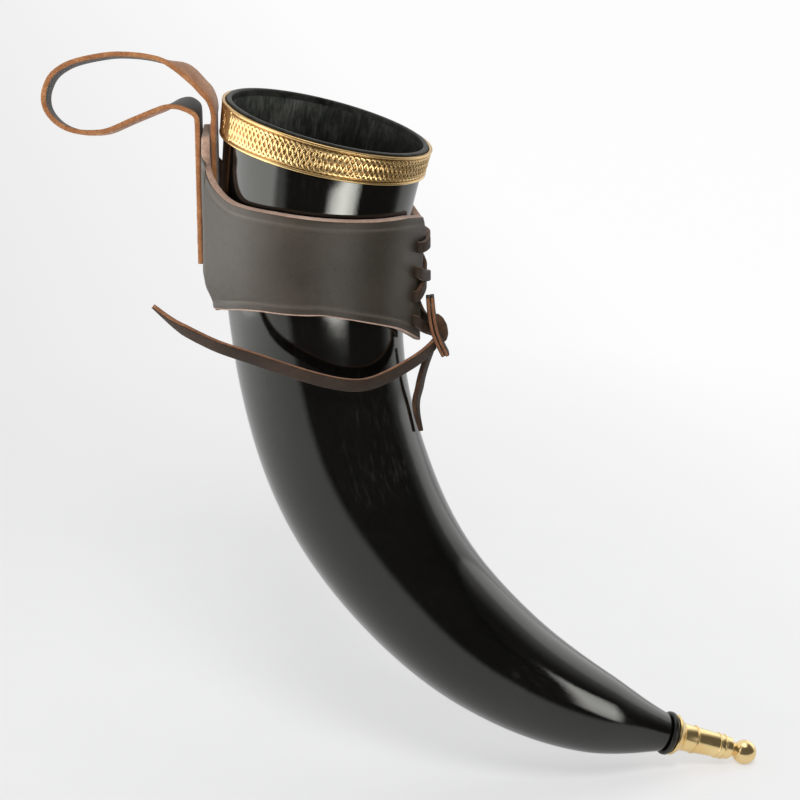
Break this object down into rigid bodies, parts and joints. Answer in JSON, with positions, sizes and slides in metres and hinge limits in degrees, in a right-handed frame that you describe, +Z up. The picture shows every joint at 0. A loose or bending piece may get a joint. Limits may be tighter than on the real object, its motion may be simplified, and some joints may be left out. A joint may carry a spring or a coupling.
{
  "type": "drinking horn",
  "caption": "Curved drinking horn with a brass mouth band and turned finial, carried in a laced leather sleeve that hangs from a belt loop.",
  "frame": {"origin": "the point where a belt bears inside the top of the belt loop, midway across the strap", "axes": "+Z up as the horn hangs from a belt, +X from the belt to the horn, +Y along the belt; the horn bends in an upright plane turned 14 degrees about +Z from the XZ plane"},
  "size_m": [0.2904, 0.0929, 0.33],
  "materials": {
    "horn": null,
    "band_brass": "embossed brass strip with dark patina in the recesses",
    "collar": "black, semi-gloss, turned",
    "finial_brass": "polished turned brass",
    "sleeve_leather": "smooth dark brown vegetable-tanned leather, paler cut edges",
    "strap_leather": "brown leather, dark grain side and orange-tan cut edges",
    "thread": "dark waxed thread",
    "lace_leather": "soft flat leather lace, dark brown"
  },
  "bodies": {
    "holster": {"holster_sleeve": "sleeve_leather", "belt_loop_strap": "strap_leather", "stitch_row_front": "thread", "stitch_row_back": "thread", "lace_weave": "lace_leather", "lace_knot": "lace_leather", "lace_end_long": "lace_leather", "lace_end_short": "lace_leather"},
    "horn": {"horn_body": "horn", "rim_band": "band_brass", "tip_collar": "collar", "finial": "finial_brass", "finial_stud": "finial_brass"}
  },
  "joints": [
    {"name": "horn_draw", "type": "hinge", "parent": "holster", "child": "horn", "pos_m": [0.28532, 0.05349, -0.09619], "axis": [-0.2419, 0.9703, 0], "range_deg": [0, 97]}
  ]
}
